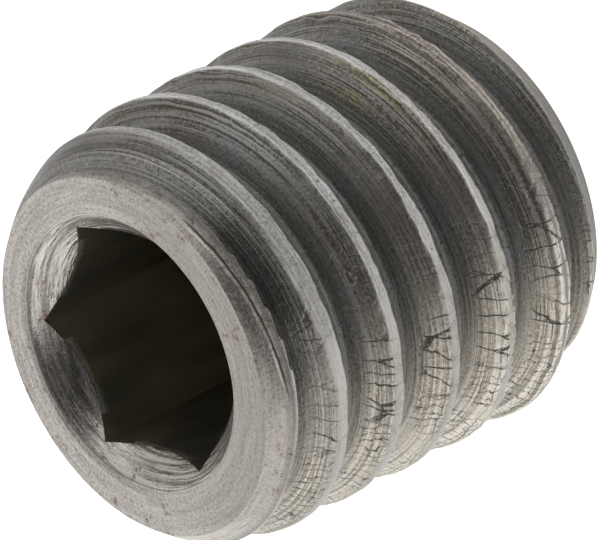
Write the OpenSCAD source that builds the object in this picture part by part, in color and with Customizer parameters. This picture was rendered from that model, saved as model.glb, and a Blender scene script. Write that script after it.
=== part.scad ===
// Orifice restrictor screw: a headless M6 screw with a hexagon socket in one end
// and a small flow hole from the bottom of the socket to the other end.
// It stands on its plain end, with the screw axis on Z and the socket at the top.
// All sizes are in millimetres.

/* [Thread] */
// Diameter over the thread crests, as worn
crest_d = 5.84; // [5.8:0.01:5.97]
// Distance from one crest to the next
pitch = 1; // [0.8:0.05:1.1]
// Angle between the two flanks of a thread
flank_angle = 60; // [55:1:62]
// Width of the crest as a share of the pitch
crest_share = 0.125; // [0.08:0.005:0.2]
// Width of the root as a share of the pitch
root_share = 0.2; // [0.15:0.005:0.25]
// Angle about the axis at which a crest leaves the plain end
crest_start = -146; // [-180:1:180]

/* [Body] */
// Length over both ends
body_l = 6; // [5.5:0.5:12]
// Diameter of the flat ring round the socket
socket_face_d = 4.78; // [4.4:0.02:5]
// Angle between the socket end's bevel and the axis, where it leaves the flat ring
socket_bevel_angle = 38; // [30:1:45]
// Radius of the curve that the socket end's bevel follows as it runs out to the thread
socket_bevel_round = 2.7; // [2:0.1:4]
// Diameter of the flat plain end
plain_face_d = 4.84; // [4.4:0.02:5.2]
// Angle between the plain end's bevel and the axis
plain_bevel_angle = 37; // [25:1:45]

/* [Hexagon socket] */
// Size across the flats of the hexagon
socket_af = 3; // [2.5:0.1:3]
// Depth of the full hexagon below the face
socket_depth = 3; // [2.5:0.1:3.4]
// Diameter of the countersink where it meets the face
countersink_d = 3.76; // [3.6:0.02:4]
// Full angle of the countersink cone
countersink_angle = 90; // [80:5:120]
// Full angle of the drilled cone under the hexagon
drill_point_angle = 120; // [110:1:130]
// Width of the flat floor left between the drilled cone and the hexagon's flats
socket_floor_ring = 0.1; // [0.05:0.05:0.3]

/* [Orifice] */
// Diameter of the flow hole
orifice_d = 0.8; // [0.5:0.1:1.2]
// Diameter of the edge break where the flow hole leaves the plain end
orifice_break_d = 1.2; // [1.2:0.1:1.6]

/* [Hidden] */
steel_colour = [0.60, 0.59, 0.56];
// Facets round a turned face, and steps round one turn of the thread
round_steps = 96;
turn_steps = 72;
// Thread form, measured along the axis
flank_run = pitch * (1 - crest_share - root_share) / 2;
crest_r = crest_d / 2;
root_r = crest_r - flank_run / tan(flank_angle / 2);
// Radius and height of the four corners of one ridge, from its lower root to its upper root
ridge = [
    [root_r, -pitch * crest_share / 2 - flank_run],
    [crest_r, -pitch * crest_share / 2],
    [crest_r, pitch * crest_share / 2],
    [root_r, pitch * crest_share / 2 + flank_run]
];
corners = len(ridge);
// The ridge starts below the blank and ends above it, so that the blank trims both ends
spare_turns = 2;
rod_turns = ceil(body_l / pitch) + 2 * spare_turns;
rod_steps = rod_turns * turn_steps;
rod_start_z = -pitch * (spare_turns + (crest_start + 360) / 360);
// The blank clears the crests everywhere except at its two bevels
crest_clearance = 0.05;
blank_r = crest_r + crest_clearance;
// The curved bevel is turned in short steps down to this angle, then runs straight
bevel_end_angle = 12;
bevel_steps = 6;
// Distance that a cut runs past the face it opens
overrun = 0.5;
drill_r = socket_af / 2 - socket_floor_ring;
drill_point_h = drill_r / tan(drill_point_angle / 2);

// Point on the ridge, a number of steps along the helix
function ridge_point(corner, step) =
    let (angle = 360 * step / turn_steps)
    [
        ridge[corner].x * cos(angle),
        ridge[corner].x * sin(angle),
        rod_start_z + pitch * step / turn_steps + ridge[corner].y
    ];

// Place of that point in the list of points, where a corner past the last one
// is the first corner of the ridge one turn further on
function ridge_index(corner, step) =
    corner < corners ? step * corners + corner : (step + turn_steps) * corners;

// Endless right-hand thread, longer than the screw
module thread_rod() {
    last_step = rod_steps - turn_steps;
    low_centre = (rod_steps + 1) * corners;
    high_centre = low_centre + 1;
    points = [
        for (step = [0 : rod_steps])
            for (corner = [0 : corners - 1])
                ridge_point(corner, step),
        [0, 0, rod_start_z],
        [0, 0, rod_start_z + pitch * (rod_turns - 1)]
    ];
    // Flanks, crest and root, two triangles to each step
    strips = [
        for (step = [0 : last_step - 1])
            for (corner = [0 : corners - 1])
                for (far = [0, 1])
                    [
                        ridge_index(corner, step),
                        ridge_index(corner + 1, step + far),
                        far == 0 ? ridge_index(corner + 1, step + 1) : ridge_index(corner, step + 1)
                    ]
    ];
    // Fans that close both ends, round one turn of root and up one ridge
    low_end = [
        for (step = [0 : turn_steps - 1])
            [low_centre, ridge_index(0, step), ridge_index(0, step + 1)],
        for (corner = [0 : corners - 1])
            [low_centre, ridge_index(corner + 1, 0), ridge_index(corner, 0)]
    ];
    high_end = [
        for (step = [last_step : rod_steps - 1])
            [high_centre, ridge_index(0, step + 1), ridge_index(0, step)],
        for (corner = [0 : corners - 1])
            [high_centre, ridge_index(corner, last_step), ridge_index(corner + 1, last_step)]
    ];
    polyhedron(points, concat(strips, low_end, high_end));
}

// Point of the socket end's bevel where it stands at an angle to the axis
function socket_bevel_point(angle) = [
    socket_face_d / 2 + socket_bevel_round * (cos(angle) - cos(socket_bevel_angle)),
    body_l - socket_bevel_round * (sin(socket_bevel_angle) - sin(angle))
];

// Bar with a bevel at each end, which gives the thread its length and its starts
module bevelled_blank() {
    plain_r = plain_face_d / 2;
    bevel_step = (socket_bevel_angle - bevel_end_angle) / bevel_steps;
    socket_bevel = [
        for (step = [bevel_steps : -1 : 0])
            socket_bevel_point(socket_bevel_angle - step * bevel_step)
    ];
    bevel_foot_z = socket_bevel[0].y - (blank_r - socket_bevel[0].x) / tan(bevel_end_angle);
    rotate_extrude($fn = round_steps)
        polygon([
            [0, 0],
            [plain_r, 0],
            [blank_r, (blank_r - plain_r) / tan(plain_bevel_angle)],
            [blank_r, bevel_foot_z],
            each socket_bevel,
            [0, body_l]
        ]);
}

// Cone with its wide end open past the face it is cut in, along +Z
module open_cone(mouth_d, full_angle) {
    slope = tan(full_angle / 2);
    mouth_r = mouth_d / 2;
    translate([0, 0, -mouth_r / slope])
        cylinder(h = mouth_r / slope + overrun, r1 = 0, r2 = mouth_r + overrun * slope, $fn = round_steps);
}

// Pointed end of the drill that the hexagon was opened up from
module drill_point() {
    rotate_extrude($fn = round_steps)
        polygon([
            [0, -drill_point_h],
            [drill_r, 0],
            [drill_r, overrun],
            [0, overrun]
        ]);
}

// Everything that the hexagon key and the drill take out of the socket end
module socket() {
    translate([0, 0, body_l - socket_depth])
        linear_extrude(socket_depth + overrun)
            circle(d = socket_af / cos(30), $fn = 6);
    translate([0, 0, body_l])
        open_cone(countersink_d, countersink_angle);
    translate([0, 0, body_l - socket_depth])
        drill_point();
}

// Flow hole along the axis, with its broken edge at the plain end
module orifice() {
    translate([0, 0, -overrun])
        cylinder(h = body_l, d = orifice_d, $fn = round_steps);
    mirror([0, 0, 1])
        open_cone(orifice_break_d, 90);
}

module restrictor_screw() {
    color(steel_colour)
        difference() {
            intersection() {
                thread_rod();
                bevelled_blank();
            }
            socket();
            orifice();
        }
}

restrictor_screw();
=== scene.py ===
"""Worn orifice restrictor screw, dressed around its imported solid, with its stage and camera."""

import math

import bpy
from bpy.props import FloatProperty, FloatVectorProperty, IntProperty, PointerProperty
from bpy.types import Operator, Panel, PropertyGroup
from bpy.utils import register_class, unregister_class
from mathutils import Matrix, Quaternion, Vector


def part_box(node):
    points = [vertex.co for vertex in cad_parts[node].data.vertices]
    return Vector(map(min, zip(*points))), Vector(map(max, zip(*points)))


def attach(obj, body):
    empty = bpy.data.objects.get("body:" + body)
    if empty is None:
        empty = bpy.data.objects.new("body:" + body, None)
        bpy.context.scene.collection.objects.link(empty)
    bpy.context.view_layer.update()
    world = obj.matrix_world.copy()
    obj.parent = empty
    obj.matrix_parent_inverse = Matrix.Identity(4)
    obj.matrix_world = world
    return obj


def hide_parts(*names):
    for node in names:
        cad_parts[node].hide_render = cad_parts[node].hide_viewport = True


bl_info = {
    "name": "Orifice restrictor screw",
    "version": (1, 0, 0),
    "blender": (4, 5, 0),
    "location": "View3D > Sidebar > Screw",
    "description": "Makes a worn socket screw with a flow hole, and a stage to show it on",
    "category": "Add Mesh",
}

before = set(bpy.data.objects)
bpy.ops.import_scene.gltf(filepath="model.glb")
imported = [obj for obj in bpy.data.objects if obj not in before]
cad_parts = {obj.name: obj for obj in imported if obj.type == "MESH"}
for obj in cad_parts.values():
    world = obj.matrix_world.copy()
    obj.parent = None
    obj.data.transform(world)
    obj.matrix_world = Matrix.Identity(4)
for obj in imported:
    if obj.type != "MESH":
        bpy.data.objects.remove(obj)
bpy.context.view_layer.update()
NODE = "restrictor_screw"
BODY = "root"

MM = 0.001
TAU = math.tau
node_low, node_high = (Vector(corner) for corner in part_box(NODE))
LENGTH = node_high.z - node_low.z
CREST_RADIUS = (node_high.x - node_low.x) / 2
MIDDLE = Vector((0, 0, LENGTH / 2))


# Settings ---------------------------------------------------------------------------------


class ScrewShape(PropertyGroup):
    """Sizes of the turned blank and of the thread cut on it."""

    pitch: FloatProperty(
        name="Pitch", description="Distance from crest to crest", default=1 * MM, unit="LENGTH"
    )
    flank_angle: FloatProperty(
        name="Flank angle",
        description="Angle between the two flanks of a thread",
        default=math.radians(60),
        subtype="ANGLE",
    )
    crest_share: FloatProperty(
        name="Crest width", description="Crest width as a share of the pitch", default=0.125
    )
    root_share: FloatProperty(
        name="Root width", description="Root width as a share of the pitch", default=0.2
    )
    crest_start: FloatProperty(
        name="Crest start",
        description="Angle about the axis at which a crest leaves the plain end",
        default=math.radians(-146),
        subtype="ANGLE",
    )
    socket_face_radius: FloatProperty(
        name="Socket face radius",
        description="Outer radius of the flat ring round the socket",
        default=2.39 * MM,
        unit="LENGTH",
    )
    socket_bevel_angle: FloatProperty(
        name="Socket bevel angle",
        description="Angle between the socket end's bevel and the axis at the flat ring",
        default=math.radians(38),
        subtype="ANGLE",
    )
    socket_bevel_round: FloatProperty(
        name="Socket bevel curve",
        description="Radius of the curve that the socket end's bevel follows",
        default=2.7 * MM,
        unit="LENGTH",
    )
    plain_face_radius: FloatProperty(
        name="Plain face radius",
        description="Radius of the flat plain end",
        default=2.42 * MM,
        unit="LENGTH",
    )
    plain_bevel_angle: FloatProperty(
        name="Plain bevel angle",
        description="Angle between the plain end's bevel and the axis",
        default=math.radians(37),
        subtype="ANGLE",
    )
    socket_flats: FloatProperty(
        name="Socket across flats",
        description="Size of the hexagon across its flats",
        default=3 * MM,
        unit="LENGTH",
    )
    socket_depth: FloatProperty(
        name="Socket depth",
        description="Depth of the full hexagon below the face",
        default=3 * MM,
        unit="LENGTH",
    )
    countersink_radius: FloatProperty(
        name="Countersink radius",
        description="Radius of the countersink where it meets the face",
        default=1.88 * MM,
        unit="LENGTH",
    )
    drill_step: FloatProperty(
        name="Drill step",
        description="How far inside the hexagon's flats the drilled cone starts",
        default=0.1 * MM,
        unit="LENGTH",
    )
    drill_angle: FloatProperty(
        name="Drill angle",
        description="Full angle of the drilled cone",
        default=math.radians(120),
        subtype="ANGLE",
    )
    orifice_radius: FloatProperty(
        name="Orifice radius", description="Radius of the flow hole", default=0.4 * MM, unit="LENGTH"
    )
    orifice_break: FloatProperty(
        name="Orifice broken edge",
        description="Depth and width of the broken edge of the flow hole at the plain end",
        default=0.2 * MM,
        unit="LENGTH",
    )
    columns: IntProperty(
        name="Columns", description="Faces round the axis, a multiple of six", default=360, min=48
    )
    thread_rows: IntProperty(
        name="Thread rows", description="Faces along the threaded outside", default=246, min=24
    )


class ScrewWear(PropertyGroup):
    """How far use and rough cutting have changed the thread."""

    corner_round: FloatProperty(
        name="Corner rounding",
        description="Radial height over which the crest corners are rounded off",
        default=0.08 * MM,
        unit="LENGTH",
    )
    crest_loss: FloatProperty(
        name="Crest loss",
        description="How unevenly the crests are worn down",
        default=0.025 * MM,
        unit="LENGTH",
    )
    crest_taper: FloatProperty(
        name="Crest taper",
        description="How much smaller the crest radius is at the socket end",
        default=0.04 * MM,
        unit="LENGTH",
    )
    crest_wander: FloatProperty(
        name="Crest wander",
        description="How far the torn crest edges wander along the axis",
        default=0.03 * MM,
        unit="LENGTH",
    )
    folded_edge: FloatProperty(
        name="Folded edge",
        description="How far the thin ridge beside the socket face is folded into its groove",
        default=0.24 * MM,
        unit="LENGTH",
    )
    folded_length: FloatProperty(
        name="Folded length",
        description="Height below the socket face over which the ridge is folded",
        default=0.45 * MM,
        unit="LENGTH",
    )
    bevel_shift: FloatProperty(
        name="Bevel shift",
        description="How far the socket end's bevel was cut off centre",
        default=0.07 * MM,
        unit="LENGTH",
    )
    bevel_shift_side: FloatProperty(
        name="Bevel shift side",
        description="Angle about the axis towards which the bevel is off centre",
        default=math.radians(-165),
        subtype="ANGLE",
    )
    bevel_oval: FloatProperty(
        name="Bevel oval",
        description="How far the bevel is out of round, largest along the X axis",
        default=0.04 * MM,
        unit="LENGTH",
    )
    seed: IntProperty(name="Seed", description="Pattern of the wear", default=7)


def colour(name, description, default):
    return FloatVectorProperty(name=name, description=description, default=default, subtype="COLOR")


class SteelColours(PropertyGroup):
    """Colours of the steel, its stains and its marks."""

    stain_dark: colour("Stain, dark", "Dark lines on the flanks", (0.122, 0.118, 0.10))
    stain_light: colour("Stain, light", "Light lines on the flanks", (0.42, 0.414, 0.402))
    blue_dark: colour("Blue stain, dark", "Dark lines low on the flanks", (0.13, 0.13, 0.125))
    blue_light: colour("Blue stain, light", "Light lines low on the flanks", (0.40, 0.42, 0.46))
    brown_dark: colour("Brown, dark", "Dark lines beside the crests", (0.14, 0.115, 0.09))
    brown_light: colour("Brown, light", "Light lines beside the crests", (0.45, 0.41, 0.36))
    green_dark: colour("Green streaks, dark", "Dark parts of the streaks", (0.20, 0.19, 0.08))
    green_light: colour("Green streaks, light", "Light parts of the streaks", (0.55, 0.52, 0.28))
    # The rough side is dusted, and its colour is painted lighter as painted light
    painted_light_dust_dark: colour("Dusty, dark", "Dark lines on the rough side", (0.32, 0.295, 0.25))
    painted_light_dust_light: colour("Dusty, light", "Light lines on the rough side", (0.76, 0.715, 0.64))
    crest_dark: colour("Crest, dark", "Dark parts of the worn crests", (0.21, 0.207, 0.20))
    crest_light: colour("Crest, light", "Light parts of the worn crests", (0.52, 0.515, 0.50))
    crest_rough: colour("Crest, rough side", "Crests on the rough side", (0.50, 0.48, 0.44))
    # Rubbed crest edges, and also the painted highlight along the crests' upper edges
    rubbed: colour("Rubbed edge", "Crest edges that are rubbed bright", (0.85, 0.84, 0.82))
    turned_dark: colour("Turned, dark", "Dark rings on the turned faces", (0.31, 0.285, 0.255))
    turned_light: colour("Turned, light", "Light rings on the turned faces", (0.76, 0.725, 0.67))
    hollow_dark: colour("Socket, dark", "Dark parts of the socket's walls", (0.22, 0.22, 0.18))
    hollow_light: colour("Socket, light", "Light parts of the socket's walls", (0.46, 0.42, 0.32))
    rust: colour("Rust", "Specks of rust", (0.24, 0.13, 0.08))
    glint: colour("Glints", "Small bare specks on the flanks", (0.62, 0.61, 0.58))
    crack: colour("Cracks and pits", "Dirt in the cracks and pits", (0.045, 0.036, 0.028))


class StageLook(PropertyGroup):
    """Floor, light and viewing angle."""

    elevation: FloatProperty(
        name="Elevation",
        description="Angle at which the camera looks down on the screw",
        default=math.radians(37.58),
        subtype="ANGLE",
    )
    roll: FloatProperty(
        name="Roll",
        description="Turn of the camera about its own line of sight",
        default=math.radians(-116.67),
        subtype="ANGLE",
    )
    distance: FloatProperty(
        name="Distance", description="Camera to aim point", default=174.3 * MM, unit="LENGTH"
    )
    lens: FloatProperty(name="Lens", description="Focal length in millimetres", default=818.85)
    aim_offset: FloatVectorProperty(
        name="Aim offset",
        description="Aim point from the middle of the screw",
        default=(-0.023 * MM, -0.029 * MM, -0.010 * MM),
        unit="LENGTH",
    )
    floor_size: FloatProperty(
        name="Floor size", description="Length of each side of the floor", default=2.0, unit="LENGTH"
    )
    floor_colour: colour("Floor colour", "Colour of the floor", (0.9, 0.9, 0.9))


# Formulas in node trees -------------------------------------------------------------------


class Value:
    """A number in a node tree. Arithmetic on it adds Math nodes."""

    def __init__(self, tree, socket):
        self.tree = tree
        self.socket = socket

    def math(self, operation, *others):
        node = self.tree.nodes.new("ShaderNodeMath")
        node.operation = operation
        for place, term in enumerate((self, *others)):
            feed(self.tree, node.inputs[place], term)
        return Value(self.tree, node.outputs[0])

    def __add__(self, other):
        return self.math("ADD", other)

    def __sub__(self, other):
        return self.math("SUBTRACT", other)

    def __rsub__(self, other):
        return (self * -1) + other

    def __neg__(self):
        return self * -1

    def __mul__(self, other):
        return self.math("MULTIPLY", other)

    def __truediv__(self, other):
        return self.math("DIVIDE", other)

    def least(self, other):
        return self.math("MINIMUM", other)

    def most(self, other):
        return self.math("MAXIMUM", other)

    def soft_least(self, other, width):
        return self.math("SMOOTH_MIN", other, width)

    def soft_most(self, other, width):
        return self.math("SMOOTH_MAX", other, width)

    def share(self, low, high, smooth=True):
        """0 below low and 1 above high, or the other way round where low is above high."""
        node = self.tree.nodes.new("ShaderNodeMapRange")
        node.interpolation_type = "SMOOTHSTEP" if smooth else "LINEAR"
        for name, term in (("Value", self), ("From Min", low), ("From Max", high)):
            feed(self.tree, node.inputs[name], term)
        return Value(self.tree, node.outputs["Result"])

    def band(self, centre, outer, inner):
        """1 nearer to the centre than inner and 0 further from it than outer."""
        return (self - centre).math("ABSOLUTE").share(outer, inner)


def feed(tree, socket, term):
    """Links a value or a socket, or sets a plain number, vector or colour."""
    if isinstance(term, Value):
        term = term.socket
    if isinstance(term, bpy.types.NodeSocket):
        tree.links.new(term, socket)
    else:
        socket.default_value = term


def add_node(tree, kind, inputs=None, **settings):
    """New node of a kind, with its settings made and its inputs linked or set."""
    node = tree.nodes.new(kind)
    for name, setting in settings.items():
        setattr(node, name, setting)
    for name, term in (inputs or {}).items():
        feed(tree, node.inputs[name], term)
    return node


def combine(tree, x, y, z):
    return add_node(tree, "ShaderNodeCombineXYZ", {"X": x, "Y": y, "Z": z}).outputs[0]


def separate(tree, vector):
    node = add_node(tree, "ShaderNodeSeparateXYZ", {"Vector": vector})
    return [Value(tree, socket) for socket in node.outputs]


def noise(tree, vector, scale=1.0, detail=2.0, roughness=0.5, distortion=0.0):
    """Smooth random pattern round 0.5."""
    inputs = {
        "Vector": vector,
        "Scale": scale,
        "Detail": detail,
        "Roughness": roughness,
        "Distortion": distortion,
    }
    return Value(tree, add_node(tree, "ShaderNodeTexNoise", inputs).outputs[0])


def thread_phase(x, y, z, pitch, crest_start):
    """Turns along the thread, whole on each crest, and the part of a pitch to the nearest crest.

    Half a pitch below a crest that part is -0.5, and half a pitch above it 0.5.
    """
    turns = z / pitch - y.math("ARCTAN2", x) / TAU + crest_start / TAU
    return turns, (turns + 0.5).math("FRACT") - 0.5


class ScrewPlace:
    """Where a point lies on the screw, in millimetres and turns, from its position in metres."""

    def __init__(self, tree, position, pitch, crest_start):
        self.tree = tree
        self.x, self.y, self.z = (axis / MM for axis in separate(tree, position))
        self.radius = (self.x * self.x + self.y * self.y).math("SQRT")
        self.unit_x = self.x / self.radius
        self.unit_y = self.y / self.radius
        self.turns, self.side = thread_phase(self.x, self.y, self.z, pitch / MM, crest_start)

    def wound(self, lines, stretch):
        """Pattern space for marks that follow the thread: fine across it and coarse along it."""
        across_x = (self.turns * TAU).math("COSINE") * lines
        across_y = (self.turns * TAU).math("SINE") * lines
        return combine(
            self.tree, across_x + self.x * stretch, across_y + self.y * stretch, self.z * stretch
        )

    def facing(self, degrees, low, high, smooth=True):
        """1 on the side that lies towards an angle about the axis. low and high are cosines."""
        azimuth = math.radians(degrees)
        towards = self.unit_x * math.cos(azimuth) + self.unit_y * math.sin(azimuth)
        return towards.share(low, high, smooth)


# Shape ------------------------------------------------------------------------------------


def hexagon_radius(angle, flats):
    """Distance from the axis to the wall of a hexagon with a corner at angle zero."""
    sixth = TAU / 6
    return flats / 2 / math.cos(angle % sixth - sixth / 2)


def socket_bevel(shape):
    """Radius of the socket end's bevel at a height, as a function."""
    start = math.sin(shape.socket_bevel_angle)
    run_out = math.radians(12)
    arc_height = shape.socket_bevel_round * (start - math.sin(run_out))

    def radius(height):
        below = LENGTH - height
        sine = start - min(below, arc_height) / shape.socket_bevel_round
        bulge = math.sqrt(1 - sine * sine) - math.cos(shape.socket_bevel_angle)
        straight = max(below - arc_height, 0) * math.tan(run_out)
        return shape.socket_face_radius + shape.socket_bevel_round * bulge + straight

    return radius


def bevel_run_out(wear, angle):
    """How far the socket end's bevel stands out of true at an angle about the axis."""
    off_centre = wear.bevel_shift * math.cos(angle - wear.bevel_shift_side)
    return off_centre + wear.bevel_oval * math.cos(2 * angle)


def outside_rings(shape, wear):
    """Rings of the blank's outside, from the plain end up, closer together at the crests."""
    crowding = 0.62
    fade_length = 0.25 * MM
    full_taper = 1 * MM
    taper_length = 3 * MM
    bevel = socket_bevel(shape)
    rings = []
    for row in range(1, shape.thread_rows):
        even = LENGTH * row / shape.thread_rows
        fade = min(1, even / fade_length, (LENGTH - even) / fade_length)
        ring = []
        for column in range(shape.columns):
            angle = TAU * column / shape.columns
            phase = even / shape.pitch - angle / TAU + shape.crest_start / TAU
            height = even - fade * crowding * shape.pitch / TAU * math.sin(TAU * phase)
            plain = shape.plain_face_radius + height * math.tan(shape.plain_bevel_angle)
            socket = bevel(height) + bevel_run_out(wear, angle)
            taper = max(0, min(1, 1 - (LENGTH - height - full_taper) / taper_length))
            radius = min(plain, socket, CREST_RADIUS - wear.crest_taper * taper)
            ring.append((radius * math.cos(angle), radius * math.sin(angle), height))
        rings.append(ring)
    return rings


def round_ring(shape, radius, height):
    angles = (TAU * column / shape.columns for column in range(shape.columns))
    return [(radius * math.cos(angle), radius * math.sin(angle), height) for angle in angles]


def socket_ring(shape, outward, height=None):
    """Ring on the hexagon's wall (outward 0) or part of the way out to the countersink's rim."""
    ring = []
    for column in range(shape.columns):
        angle = TAU * column / shape.columns
        wall = hexagon_radius(angle, shape.socket_flats)
        radius = wall + (shape.countersink_radius - wall) * outward
        cone_height = LENGTH - (shape.countersink_radius - radius)
        ring_height = cone_height if height is None else min(height, cone_height)
        ring.append((radius * math.cos(angle), radius * math.sin(angle), ring_height))
    return ring


def face_ring(shape, wear, outward):
    """Ring on the socket face, from the countersink's rim (outward 0) out to the bevel (1)."""
    ring = []
    for column in range(shape.columns):
        angle = TAU * column / shape.columns
        edge = shape.socket_face_radius + bevel_run_out(wear, angle)
        radius = shape.countersink_radius + (edge - shape.countersink_radius) * outward
        ring.append((radius * math.cos(angle), radius * math.sin(angle), LENGTH))
    return ring


def socket_rings(shape, floor_height):
    """Rings down the countersink and then down the hexagon's wall."""
    sink_steps = 5
    wall_steps = 3
    wall_top = LENGTH - 0.5 * MM
    rings = [socket_ring(shape, 1 - step / sink_steps) for step in range(1, sink_steps + 1)]
    for step in range(wall_steps + 1):
        height = wall_top + (floor_height - wall_top) * step / wall_steps
        rings.append(socket_ring(shape, 0, height))
    return rings


def bore_rings(shape, floor_height):
    """Rings down the drilled cone and the flow hole, and out over the plain end."""
    drill_radius = shape.socket_flats / 2 - shape.drill_step
    drill_slope = math.tan(shape.drill_angle / 2)
    orifice_top = floor_height - (drill_radius - shape.orifice_radius) / drill_slope
    cone_steps = 2
    bore_steps = 2
    plain_steps = 3
    rings = [round_ring(shape, drill_radius, floor_height)]
    for step in range(1, cone_steps + 1):
        down = step / cone_steps
        radius = drill_radius + (shape.orifice_radius - drill_radius) * down
        rings.append(round_ring(shape, radius, floor_height + (orifice_top - floor_height) * down))
    for step in range(1, bore_steps + 1):
        height = orifice_top + (shape.orifice_break - orifice_top) * step / bore_steps
        rings.append(round_ring(shape, shape.orifice_radius, height))
    mouth = shape.orifice_radius + shape.orifice_break
    for step in range(plain_steps):
        radius = mouth + (shape.plain_face_radius - mouth) * step / plain_steps
        rings.append(round_ring(shape, radius, 0))
    return rings


def blank_rings(shape, wear):
    """Every ring of the blank in order: up the outside, into the socket and out by the orifice."""
    face_steps = 4
    floor_height = LENGTH - shape.socket_depth
    rings = [round_ring(shape, shape.plain_face_radius, 0)]
    rings += outside_rings(shape, wear)
    rings += [face_ring(shape, wear, 1 - step / face_steps) for step in range(face_steps + 1)]
    rings += socket_rings(shape, floor_height)
    rings += bore_rings(shape, floor_height)
    return rings


def blank_mesh(shape, wear):
    """Turned blank with its socket and orifice: each ring joined to the next, the last to the first."""
    rings = blank_rings(shape, wear)
    points = [point for ring in rings for point in ring]
    columns = shape.columns
    faces = []
    for row in range(len(rings)):
        here = row * columns
        there = (row + 1) % len(rings) * columns
        for column in range(columns):
            beside = (column + 1) % columns
            faces.append((here + column, here + beside, there + beside, there + column))
    mesh = bpy.data.meshes.new(NODE)
    mesh.from_pydata(points, [], faces)
    return mesh


THREAD_INPUTS = (
    "Crest radius",
    "Pitch",
    "Crest width",
    "Root radius",
    "Flank slope",
    "Crest start",
    "Corner rounding",
    "Crest loss",
    "Crest wander",
    "Folded edge",
    "Folded height",
    "Seed",
)
# Marks that the thread tree leaves on the mesh: how far the thread would stand above the
# blank's own surface, in millimetres, and two slow patterns for stains
SPARE = "spare"
CLOUD = "cloud"
PATCH = "patch"


def thread_group():
    """Node group with the thread's named inputs and one geometry output."""
    tree = bpy.data.node_groups.new("Cut worn thread", "GeometryNodeTree")
    tree.interface.new_socket("Geometry", in_out="INPUT", socket_type="NodeSocketGeometry")
    for name in THREAD_INPUTS:
        tree.interface.new_socket(name, in_out="INPUT", socket_type="NodeSocketFloat")
    tree.interface.new_socket("Finish", in_out="INPUT", socket_type="NodeSocketMaterial")
    tree.interface.new_socket("Geometry", in_out="OUTPUT", socket_type="NodeSocketGeometry")
    return tree


def folded_share(y, z, radius, side, folded_height):
    """How far the ridge beside the socket face is folded over, most where it looks along -Y."""
    fade = 0.2 * MM
    below_crest = side.share(-0.5, -0.46) * (1 - side.share(-0.12, 0.0))
    near_face = z.share(folded_height - fade, folded_height)
    return below_crest * near_face * ((-y / radius).share(0.5, 0.92) * 0.45 + 0.55)


def with_marks(tree, geometry, marks):
    """The geometry with each mark stored on its points under its name."""
    for name, mark in marks.items():
        geometry = add_node(
            tree,
            "GeometryNodeStoreNamedAttribute",
            {"Geometry": geometry, "Name": name, "Value": mark},
            data_type="FLOAT",
            domain="POINT",
        ).outputs[0]
    return geometry


def thread_tree():
    """Cuts a worn right-hand thread into whatever part of a blank stands outside it."""
    outside_margin = 0.1 * MM
    weld_distance = 1e-4 * MM
    tree = thread_group()
    given = add_node(tree, "NodeGroupInput").outputs
    value = {name: Value(tree, given[name]) for name in THREAD_INPUTS}
    rounding = value["Corner rounding"]
    position = add_node(tree, "GeometryNodeInputPosition").outputs[0]
    x, y, z = separate(tree, position)
    radius = (x * x + y * y).math("SQRT")
    _, side = thread_phase(x, y, z, value["Pitch"], value["Crest start"])
    # Patterns are scaled to millimetres and moved by the seed
    spot = add_node(
        tree,
        "ShaderNodeVectorMath",
        {0: position, 1: (1 / MM,) * 3, 2: combine(tree, value["Seed"], 0, 0)},
        operation="MULTIPLY_ADD",
    ).outputs[0]
    # The edges of the crest wander, but the flanks below them stay true
    apart = side.math("ABSOLUTE")
    wander = (noise(tree, spot, scale=2.6) - 0.5) * value["Crest wander"] * 4
    wander = wander * apart.share(0.17, 0.08)
    fold = folded_share(y, z, radius, side, value["Folded height"]) * value["Folded edge"]
    from_crest = apart * value["Pitch"] + wander - fold
    uncut = value["Crest radius"] - (from_crest - value["Crest width"] / 2) * value["Flank slope"]
    loss = noise(tree, spot, scale=3.6, detail=1.5).share(0.42, 0.72) * value["Crest loss"]
    cut = uncut.soft_least(value["Crest radius"] - loss, rounding)
    cut = cut.soft_most(value["Root radius"], rounding)
    kept = radius.soft_least(cut, rounding).least(radius)
    # Towards the plain end the stain reaches a little over the edges of the crest
    stained_edge = z.share(2.8 * MM, 1.1 * MM, False) * 0.08 * MM
    marks = {
        SPARE: (uncut - radius - stained_edge) / MM,
        CLOUD: noise(tree, spot, scale=1.1, detail=3, roughness=0.55),
        PATCH: noise(tree, spot, scale=0.75, distortion=0.4),
    }
    scale = kept / radius
    moved = add_node(
        tree,
        "GeometryNodeSetPosition",
        {
            "Geometry": with_marks(tree, given["Geometry"], marks),
            "Selection": radius.math("GREATER_THAN", value["Root radius"] - outside_margin),
            "Position": combine(tree, x * scale, y * scale, z),
        },
    ).outputs[0]
    merged = add_node(
        tree, "GeometryNodeMergeByDistance", {"Geometry": moved, "Distance": weld_distance}
    ).outputs[0]
    single = add_node(tree, "GeometryNodeRealizeInstances", {"Geometry": merged}).outputs[0]
    finished = add_node(
        tree, "GeometryNodeSetMaterial", {"Geometry": single, "Material": given["Finish"]}
    ).outputs[0]
    result = add_node(tree, "NodeGroupOutput")
    tree.links.new(finished, result.inputs[0])
    return tree


def set_inputs(modifier, tree, values):
    """Sets a Geometry Nodes modifier's inputs by the names that the tree gives them."""
    for item in tree.interface.items_tree:
        if item.in_out == "INPUT" and item.name in values:
            modifier[item.identifier] = values[item.name]


def baked(maker, name):
    """The plain mesh that a modified object comes to, with the maker object removed."""
    graph = bpy.context.evaluated_depsgraph_get()
    mesh = bpy.data.meshes.new_from_object(maker.evaluated_get(graph), depsgraph=graph)
    mesh.name = name
    bpy.data.objects.remove(maker)
    return mesh


# Finish -----------------------------------------------------------------------------------


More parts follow.
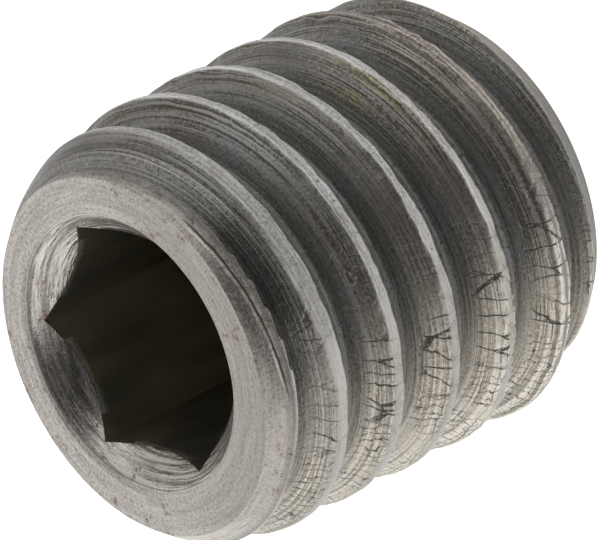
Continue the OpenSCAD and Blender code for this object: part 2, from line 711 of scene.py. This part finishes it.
def mix(tree, share, first, second, kind="RGBA"):
    """Colour or vector that goes from the first to the second as the share goes from 0 to 1."""
    node = add_node(tree, "ShaderNodeMix", data_type=kind)
    feed(tree, node.inputs["Factor"], share)
    ends = [socket for socket in node.inputs if socket.type == kind][-2:]
    for socket, end in zip(ends, (first, second)):
        feed(tree, socket, end if isinstance(end, bpy.types.NodeSocket) else (*end, 1))
    return next(socket for socket in node.outputs if socket.type == kind)


def cracked(tree, x, y, low, high):
    """1 on the borders between flat cells of pattern space, 0 further from them than high."""
    node = add_node(
        tree,
        "ShaderNodeTexVoronoi",
        {"Vector": combine(tree, x, y, 0), "Scale": 1.0},
        feature="DISTANCE_TO_EDGE",
        voronoi_dimensions="2D",
    )
    return Value(tree, node.outputs["Distance"]).share(high, low)


class Steel:
    """Regions and patterns of the screw's surface, which its colours and relief are made from."""

    def __init__(self, tree, shape):
        self.tree = tree
        position = add_node(tree, "ShaderNodeTexCoord").outputs["Object"]
        self.place = ScrewPlace(tree, position, shape.pitch, shape.crest_start)
        self.spare, self.cloud, self.patch = (
            Value(tree, add_node(tree, "ShaderNodeAttribute", attribute_name=name).outputs["Fac"])
            for name in (SPARE, CLOUD, PATCH)
        )
        self.set_regions(shape)
        self.set_patterns(position)
        self.set_stains()

    def set_regions(self, shape):
        """Marks the faces, the bevel, the socket and the parts of the thread with 1."""
        radius = self.place.radius
        z = self.place.z
        length = LENGTH / MM
        rim = shape.countersink_radius / MM
        crest = CREST_RADIUS / MM
        thread_depth = 0.58
        bevel_foot = length - 0.42
        bevel_full = length - 0.2
        trim_foot = length - 0.75
        trim_full = length - 0.62
        self.inside = radius.share(rim + 0.02, rim - 0.02, False) * z.share(0.25, 0.3)
        self.sink = self.inside * (z - radius + rim - length).share(-0.03, -0.01, False)
        self.socket = self.inside - self.sink
        # 1 where the blank's own surface is left
        self.land = self.spare.share(-0.035, 0.015) * (1 - self.inside)
        self.bevel = self.land * z.share(bevel_foot, bevel_full)
        turned = self.bevel.most(z.share(length - 0.02, length - 0.01)) * (1 - self.inside)
        self.turned = (turned + self.sink + z.share(0.02, 0.01)).least(1)
        self.thread = (1 - self.turned) * (1 - self.inside)
        self.flank = self.thread * (1 - self.land)
        # Where the bevel trims the thread, only the outer edge of the crest is rubbed bright
        trimmed = self.thread * z.share(trim_foot, trim_full)
        outer_edge = self.spare.share(0.12, 0.08) * self.place.side.share(0.0, -0.04)
        self.rubbed_edge = outer_edge * self.land * trimmed
        self.dull = trimmed * (1 - self.rubbed_edge)
        self.last_turn = z.share(2.0, 1.3)
        # 0 at the root and 1 at the crest
        self.rise = radius.share(crest - thread_depth, crest - 0.02, False)

    def set_patterns(self, position):
        """Lines run round the axis on turned faces and along the thread elsewhere."""
        tree = self.tree
        place = self.place
        ring_space = combine(tree, place.radius * 19, place.x * 0.9, place.y * 0.9)
        line_space = mix(tree, self.turned, place.wound(10, 0.4), ring_space, "VECTOR")
        self.lines = noise(tree, line_space, detail=3, roughness=0.75)
        self.broad_lines = noise(tree, place.wound(2.6, 0.35), roughness=0.6)
        self.grain = noise(tree, position, scale=22 / MM, roughness=0.8)
        self.jog = noise(tree, position, scale=4.5 / MM, roughness=0.6)
        self.pits = self.grain.share(0.33, 0.28) * self.cloud.share(0.36, 0.5)
        self.pits = self.pits * (1 - self.sink * 0.8)
        specks = (self.grain * 0.45 + self.jog * 0.55).share(0.57, 0.62)
        self.rust = specks * self.patch.share(0.40, 0.5) * (self.turned + self.land * 0.5).least(1)

    def set_stains(self):
        """How strong the lines are, where the rough side is dusted and painted lighter, and how light
        the lines are.
        """
        self.contrast = self.rise.share(0.1, 0.6) * self.patch.share(0.35, 0.6) * 0.7 + 0.3
        tone = (self.lines - 0.5) * self.contrast * 1.2 + 0.5
        tone = tone + (self.grain - 0.5) * (self.contrast * 0.5 + 0.05)
        self.line_tone = tone.share(0.38, 0.62)
        # The rough side: dusted, and painted lighter as painted light
        towards_rough = self.place.facing(-158, -1, 1, False)
        self.dust_and_painted_light = (towards_rough + self.rise * 0.14).share(0.90, 1.06)


class Fold:
    """Marks on the ridge beside the socket face, where it is folded over into its groove, with painted
    shade and a painted highlight.
    """

    def __init__(self, steel):
        place = steel.place
        length = LENGTH / MM
        crease_side = -0.335
        crease_wander = 0.03
        edge_step = 0.028
        half_width = 0.014
        below_face = steel.bevel * place.z.share(length, length - 0.03)
        folded = place.facing(-92, 0.84, 0.93) * steel.bevel
        from_crease = place.side - crease_side + (steel.jog - 0.5) * crease_wander
        self.crease = from_crease.band(0, half_width, 0.004) * folded
        # A painted highlight: a thin bright line beside the crease, added to the colour's multiplier
        self.edge = from_crease.band(edge_step, half_width, 0.005) * folded
        rust = from_crease.share(-0.03, -0.01) * from_crease.share(0.005, -0.005) * folded
        self.rust = rust * steel.cloud.share(0.4, 0.55)
        # Painted shade: darker outwards over the lip, and dark in a strip of the bevel inside the
        # crease
        lip = below_face * place.side.share(-0.345, -0.365)
        self.lip_shade = lip * (place.side.share(-0.36, -0.43) * 0.4 + 0.2)
        strip = below_face * from_crease.share(0.0, 0.03) * from_crease.share(0.19, 0.11)
        self.strip_shade = strip * place.facing(-98, 0.86, 0.96) * 0.3


def crack_marks(steel):
    """Cracks across and along the thread on its rough side, and slanting tears lower down."""
    place = steel.place
    crest = CREST_RADIUS / MM
    # Cells and tears to a millimetre
    cells_round = 3.8
    cells_along = 1.9
    tears_round = 7
    # Length round the crest in millimetres, cut on the side away from the cracks
    arc = (-place.y).math("ARCTAN2", -place.x) * crest
    bends = (steel.jog - 0.5) * 0.5 + (steel.grain - 0.5) * 0.08
    cell_x = arc * cells_round + bends
    cell_y = place.z * cells_along - bends * 0.6
    splits = cracked(steel.tree, cell_x, cell_y, 0.025, 0.055)
    slant = arc * tears_round + place.side * 8 + steel.jog * 2.5
    tears = slant.math("PINGPONG", 0.5).share(0.09, 0.03) * steel.grain.share(0.46, 0.52)
    low_side = place.facing(-172, 0.85, 0.9)
    splits = splits * (1 - low_side) + tears * low_side
    seams = steel.broad_lines.band(0.5, 0.012, 0.004)
    seams = seams * steel.jog.share(0.5, 0.56) * (1 - low_side * 0.7)
    band = steel.rise.share(0.25, 0.5) * (1 - steel.land * 0.85) * steel.thread
    torn = place.facing(-142, 0.55, 0.9) * steel.patch.share(0.38, 0.5)
    return splits.most(seams) * torn * steel.grain.share(0.40, 0.46) * band


def stain_colour(steel, colours, brown):
    """Flanks: brown near the crests, blue-grey and green lower down; the rough side dusted and painted
    lighter.
    """
    tree = steel.tree
    z = steel.place.z
    tone = steel.line_tone
    rise = steel.rise
    stain = mix(tree, tone, colours.stain_dark, colours.stain_light)
    blue = mix(tree, tone, colours.blue_dark, colours.blue_light)
    green = mix(tree, tone, colours.green_dark, colours.green_light)
    painted_light_dust = mix(tree, tone, colours.painted_light_dust_dark, colours.painted_light_dust_light)
    stain = mix(tree, steel.cloud.share(0.5, 0.66) * rise.share(0.9, 0.4) * 0.5, stain, blue)
    brown_lines = steel.broad_lines.share(0.40, 0.58) * rise.share(0.3, 0.8)
    stain = mix(tree, brown_lines * 0.85, stain, brown)
    brown_side = steel.place.facing(0, 0.75, 0.98) * steel.patch.share(0.42, 0.58)
    stain = mix(tree, brown_side * 0.8, stain, brown)
    green_side = steel.place.facing(-57, 0.91, 0.985) * z.share(3.4, 2.9) * z.share(1.4, 1.8)
    streaks = steel.broad_lines.band(0.5, 0.035, 0.012) * steel.grain.share(0.44, 0.52)
    stain = mix(tree, green_side * streaks * 0.7, stain, green)
    return mix(tree, steel.dust_and_painted_light, stain, painted_light_dust)


def crest_colour(steel, colours, brown):
    """Crests: bare and bright, with stain on the last turn's far side and a painted highlight along
    their upper edges.
    """
    tree = steel.tree
    place = steel.place
    tone = (steel.grain * 0.4 + steel.lines * 0.2 + steel.broad_lines * 0.4).share(0.37, 0.61)
    bright = mix(tree, tone, colours.crest_dark, colours.crest_light)
    bright = mix(tree, place.facing(-150, 0.3, 0.9) * 0.7, bright, colours.crest_rough)
    far_side = place.facing(-10, -0.2, 0.6)
    bright = mix(tree, steel.last_turn * far_side * 0.9, bright, brown)
    # A painted highlight along the crests' upper edges, on the side towards -60 degrees
    painted_highlight_edge = steel.spare.share(0.0, 0.02) * steel.spare.share(0.07, 0.04)
    painted_highlight_edge = painted_highlight_edge * place.side.share(0.0, 0.02) * place.facing(-60, 0.4, 0.9)
    # Rubbed edges, together with the painted highlight
    edges = steel.rubbed_edge.most(painted_highlight_edge * steel.cloud.share(0.4, 0.5) * 0.35)
    return mix(tree, edges, bright, colours.rubbed)


def turned_colour(steel, colours):
    """Faces, bevels and countersink: turned rings and grain, with painted shade on one side."""
    lines = steel.lines
    grain = steel.grain
    face_tone = (lines * 0.4 + grain * 0.6).share(0.30, 0.66)
    sink_tone = (lines * 0.85 + grain * 0.15).share(0.39, 0.57)
    tone = face_tone * (1 - steel.sink) + sink_tone * steel.sink
    # Painted shade on the side towards -110 degrees
    tone = tone * (1 - steel.place.facing(-110, -0.2, 0.9) * 0.4)
    return mix(steel.tree, tone, colours.turned_dark, colours.turned_light)


def painted_flank_light(steel, first_groove):
    """Painted light and shade on the flanks: how much lighter they are painted than elsewhere, below 0
    where painted darker.
    """
    place = steel.place
    beside_rough = place.facing(-58, 0.85, 0.98)
    rough = steel.dust_and_painted_light * place.z.share(5, 4.3)
    back = place.facing(-5, 0.8, 1.0)
    above_crest = place.side.share(0.0, 0.05)
    below_fold = place.facing(-85, 0.92, 0.985) * first_groove * above_crest
    plain_end = place.z.share(2.4, 1.2) * (1 - steel.dust_and_painted_light)
    lift = (beside_rough * 0.2 + rough * 0.15) * steel.rise.share(0.4, 0.7)
    return lift - back * 0.2 - below_fold * 0.45 + plain_end * 0.15


def painted_light_and_shade(steel, fold):
    """What the surface's colour is multiplied by: painted shade and light, and a painted highlight."""
    place = steel.place
    first_groove = place.z.share(4.7, 5.2) * steel.flank * (1 - steel.dust_and_painted_light)
    root = place.side.math("ABSOLUTE").share(0.38, 0.46) * steel.flank
    # Painted shade, darker down the flanks into the roots, and painted light in the first groove below
    # the socket face
    shade = steel.rise.share(0.0, 0.55) * 0.42 + 0.58
    shade = shade.most(first_groove * 0.9) + first_groove * 0.4
    # Painted shade at the roots, deepest in the first groove
    shade = shade * (1 - root * (first_groove * 0.35 + 0.2))
    # Painted shade where the bevel trims the thread, and on the crest of the last turn
    trim_painted_shade = 0.6 - place.facing(-40, 0.86, 0.97) * 0.25
    shade = shade.most(1 - steel.thread) * (1 - steel.dull * steel.land * trim_painted_shade)
    # On the last turn's crest this is partly its stain and partly painted shade that dims its
    # reflection, most on the far side
    stain_and_painted_shade = place.facing(0, 0.5, 0.98) * 0.42 + place.facing(-112, 0.6, 0.97) * 0.2 + 0.2
    shade = shade * (1 - steel.last_turn * steel.land * steel.thread * stain_and_painted_shade)
    # Painted shade on the side of the countersink towards 88 degrees
    shade = shade * (1 - steel.sink * place.facing(88, 0.85, 0.99) * 0.5)
    # Painted light and shade on the flanks, by side and height
    shade = shade * (painted_flank_light(steel, first_groove) * steel.flank + 1)
    # Painted shade over the lip and in the bevel's strip, and the painted highlight beside the crease
    return shade * (1 - fold.lip_shade) * (1 - fold.strip_shade) + fold.edge * 0.7


def steel_colour(steel, fold, colours, rust, dark):
    """Colour of the whole surface, from its regions and the marks on them, times its painted light and
    shade.
    """
    tree = steel.tree
    brown = mix(tree, steel.line_tone, colours.brown_dark, colours.brown_light)
    hollow = mix(tree, steel.cloud.share(0.35, 0.65), colours.hollow_dark, colours.hollow_light)
    # Where the stain colour takes the place of the crest colour
    stain_and_painted_shade = steel.flank.most(steel.dull * steel.thread)
    glint = steel.grain.share(0.67, 0.72) * steel.cloud.share(0.4, 0.55) * steel.flank
    crest = crest_colour(steel, colours, brown)
    colour = mix(tree, stain_and_painted_shade, crest, stain_colour(steel, colours, brown))
    colour = mix(tree, steel.turned, colour, turned_colour(steel, colours))
    colour = mix(tree, steel.socket, colour, hollow)
    colour = mix(tree, rust * 0.8, colour, colours.rust)
    colour = mix(tree, glint * 0.7, colour, colours.glint)
    colour = mix(tree, dark, colour, colours.crack)
    shade = painted_light_and_shade(steel, fold)
    return add_node(
        tree,
        "ShaderNodeVectorMath",
        {0: colour, 1: combine(tree, shade, shade, shade)},
        operation="MULTIPLY",
    ).outputs[0]


def steel_material(shape, colours):
    """Bare steel: bright worn crests, stain in the grooves, turned faces, pits, cracks, rust, painted
    shade and painted highlights.
    """
    material = bpy.data.materials.new("worn_steel")
    material.use_nodes = True
    tree = material.node_tree
    steel = Steel(tree, shape)
    fold = Fold(steel)
    cracks = crack_marks(steel).most(fold.crease)
    rust = steel.rust.most(fold.rust)
    dark = (steel.pits * 0.7 * (1 - steel.socket)).most(cracks * 0.9)
    line_relief = (steel.contrast * 0.6).most(steel.turned * 0.35).most(steel.sink * 1.3)
    height = steel.lines * line_relief + steel.grain * 0.35 - steel.pits * 0.5 - cracks * 1.4
    bump = add_node(
        tree, "ShaderNodeBump", {"Height": height, "Distance": 0.025 * MM, "Strength": 0.9}
    )
    roughness = steel.grain.share(0.2, 0.8) * 0.16 + 0.34 - steel.sink * 0.1
    shader = tree.nodes["Principled BSDF"]
    feed(tree, shader.inputs["Base Color"], steel_colour(steel, fold, colours, rust, dark))
    feed(tree, shader.inputs["Metallic"], 1 - dark.most(rust * 0.5) * 0.8)
    feed(tree, shader.inputs["Roughness"], roughness)
    feed(tree, shader.inputs["Normal"], bump.outputs[0])
    return material


# Making the screw -------------------------------------------------------------------------


class SCREW_OT_make_screw(Operator):
    """Turn the blank, cut its worn thread and dress it as bare steel"""

    bl_idname = "screw.make_screw"
    bl_label = "Screw"

    def execute(self, context):
        shape = context.scene.screw_shape
        wear = context.scene.screw_wear
        finish = steel_material(shape, context.scene.screw_colours)
        maker = bpy.data.objects.new("blank", blank_mesh(shape, wear))
        context.collection.objects.link(maker)
        tree = thread_tree()
        modifier = maker.modifiers.new("Thread", "NODES")
        modifier.node_group = tree
        flank_run = shape.pitch * (1 - shape.crest_share - shape.root_share) / 2
        slope = 1 / math.tan(shape.flank_angle / 2)
        set_inputs(
            modifier,
            tree,
            {
                "Crest radius": CREST_RADIUS,
                "Pitch": shape.pitch,
                "Crest width": shape.pitch * shape.crest_share,
                "Root radius": CREST_RADIUS - flank_run * slope,
                "Flank slope": slope,
                "Crest start": shape.crest_start,
                "Corner rounding": wear.corner_round,
                "Crest loss": wear.crest_loss,
                "Crest wander": wear.crest_wander,
                "Folded edge": wear.folded_edge,
                "Folded height": LENGTH - wear.folded_length,
                "Seed": float(wear.seed),
                "Finish": finish,
            },
        )
        mesh = baked(maker, "worn_screw")
        if not mesh.polygons:
            raise RuntimeError("The thread tree gave no mesh")
        mesh.polygons.foreach_set("use_smooth", [True] * len(mesh.polygons))
        mesh.set_sharp_from_angle(angle=math.radians(48))
        piece = bpy.data.objects.new("worn_screw", mesh)
        context.collection.objects.link(piece)
        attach(piece, BODY)
        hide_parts(NODE)
        return {"FINISHED"}


# Stage ------------------------------------------------------------------------------------


def floor_material(look):
    """White to the camera and in reflections, and a plain pale surface to everything else."""
    material = bpy.data.materials.new("pale_floor")
    material.use_nodes = True
    tree = material.node_tree
    surface = tree.nodes["Principled BSDF"]
    surface.inputs["Base Color"].default_value = (*look.floor_colour, 1)
    surface.inputs["Roughness"].default_value = 0.9
    seen = add_node(tree, "ShaderNodeLightPath").outputs
    in_reflection = Value(tree, seen["Is Glossy Ray"]).most(Value(tree, seen["Is Transmission Ray"]))
    by_eye = Value(tree, seen["Is Camera Ray"]).most(in_reflection * 0.7)
    glow = add_node(
        tree, "ShaderNodeEmission", {"Color": (1, 1, 1, 1), "Strength": by_eye}
    ).outputs[0]
    both = add_node(tree, "ShaderNodeAddShader", {0: surface.outputs[0], 1: glow}).outputs[0]
    tree.links.new(both, tree.nodes["Material Output"].inputs["Surface"])
    return material


def lobe(tree, direction, azimuth, elevation, low, high):
    """1 in one direction, falling to 0 away from it. low and high are cosines."""
    flat = math.cos(elevation)
    centre = (flat * math.cos(azimuth), flat * math.sin(azimuth), math.sin(elevation))
    node = add_node(
        tree, "ShaderNodeVectorMath", {0: direction, 1: centre}, operation="DOT_PRODUCT"
    )
    return Value(tree, node.outputs["Value"]).share(low, high)


def studio_world():
    """Soft surround: pale low down, dark overhead and dark on the camera's side."""
    world = bpy.data.worlds.new("studio")
    world.use_nodes = True
    tree = world.node_tree
    direction = add_node(tree, "ShaderNodeTexCoord").outputs["Generated"]
    _, _, z = separate(tree, direction)
    low_down = z.share(0.99, 0.55, False)
    behind = lobe(tree, direction, math.radians(-90), math.radians(40), 0.70, 0.94)
    right = lobe(tree, direction, math.radians(19), math.radians(24), 0.78, 0.97)
    over = lobe(tree, direction, math.radians(5), math.radians(63), 0.86, 0.99)
    rising = z.share(-0.1, 0.4) * 0.25 + 0.67
    level = low_down * (1 - right * 0.6) * rising + 0.14
    level = level * (1 - behind * 0.92) + over * 0.2
    seen = add_node(tree, "ShaderNodeLightPath").outputs
    strength = level.most(Value(tree, seen["Is Camera Ray"]))
    background = tree.nodes["Background"]
    feed(tree, background.inputs["Strength"], strength)
    background.inputs["Color"].default_value = (1, 1, 1, 1)
    return world


class SCREW_OT_make_stage(Operator):
    """Lay the floor, light the studio and set the camera"""

    bl_idname = "screw.make_stage"
    bl_label = "Stage"

    def execute(self, context):
        look = context.scene.screw_stage
        half = look.floor_size / 2
        corners = [(-half, -half, 0), (half, -half, 0), (half, half, 0), (-half, half, 0)]
        mesh = bpy.data.meshes.new("floor")
        mesh.from_pydata(corners, [], [(0, 1, 2, 3)])
        mesh.materials.append(floor_material(look))
        floor = bpy.data.objects.new("floor", mesh)
        context.collection.objects.link(floor)
        context.scene.world = studio_world()
        self.set_camera(context, look)
        context.scene.view_settings.view_transform = "Standard"
        return {"FINISHED"}

    def set_camera(self, context, look):
        data = bpy.data.cameras.new("view")
        data.lens = look.lens
        data.clip_start = 1 * MM
        data.clip_end = 10
        camera = bpy.data.objects.new("view", data)
        context.collection.objects.link(camera)
        back = Vector((0, -math.cos(look.elevation), math.sin(look.elevation)))
        turn = Quaternion((0, 0, 1), look.roll)
        camera.rotation_mode = "QUATERNION"
        camera.rotation_quaternion = (-back).to_track_quat("-Z", "Y") @ turn
        camera.location = MIDDLE + Vector(look.aim_offset) + back * look.distance
        context.scene.camera = camera


# Add-on -----------------------------------------------------------------------------------


class SCREW_PT_panel(Panel):
    """Sizes and wear of the screw, and the buttons that make it"""

    bl_idname = "SCREW_PT_panel"
    bl_label = "Restrictor screw"
    bl_space_type = "VIEW_3D"
    bl_region_type = "UI"
    bl_category = "Screw"

    def draw(self, context):
        for group in (
            context.scene.screw_shape,
            context.scene.screw_wear,
            context.scene.screw_colours,
            context.scene.screw_stage,
        ):
            box = self.layout.box()
            for name in group.bl_rna.properties.keys():
                if name not in {"rna_type", "name"}:
                    box.prop(group, name)
        self.layout.operator(SCREW_OT_make_screw.bl_idname)
        self.layout.operator(SCREW_OT_make_stage.bl_idname)


CLASSES = (
    ScrewShape,
    ScrewWear,
    SteelColours,
    StageLook,
    SCREW_OT_make_screw,
    SCREW_OT_make_stage,
    SCREW_PT_panel,
)


def register():
    for kind in CLASSES:
        register_class(kind)
    bpy.types.Scene.screw_shape = PointerProperty(type=ScrewShape)
    bpy.types.Scene.screw_wear = PointerProperty(type=ScrewWear)
    bpy.types.Scene.screw_colours = PointerProperty(type=SteelColours)
    bpy.types.Scene.screw_stage = PointerProperty(type=StageLook)


def unregister():
    del bpy.types.Scene.screw_stage
    del bpy.types.Scene.screw_colours
    del bpy.types.Scene.screw_wear
    del bpy.types.Scene.screw_shape
    for kind in reversed(CLASSES):
        unregister_class(kind)


def main():
    register()
    bpy.ops.screw.make_screw()
    bpy.ops.screw.make_stage()


if __name__ == "__main__":
    main()
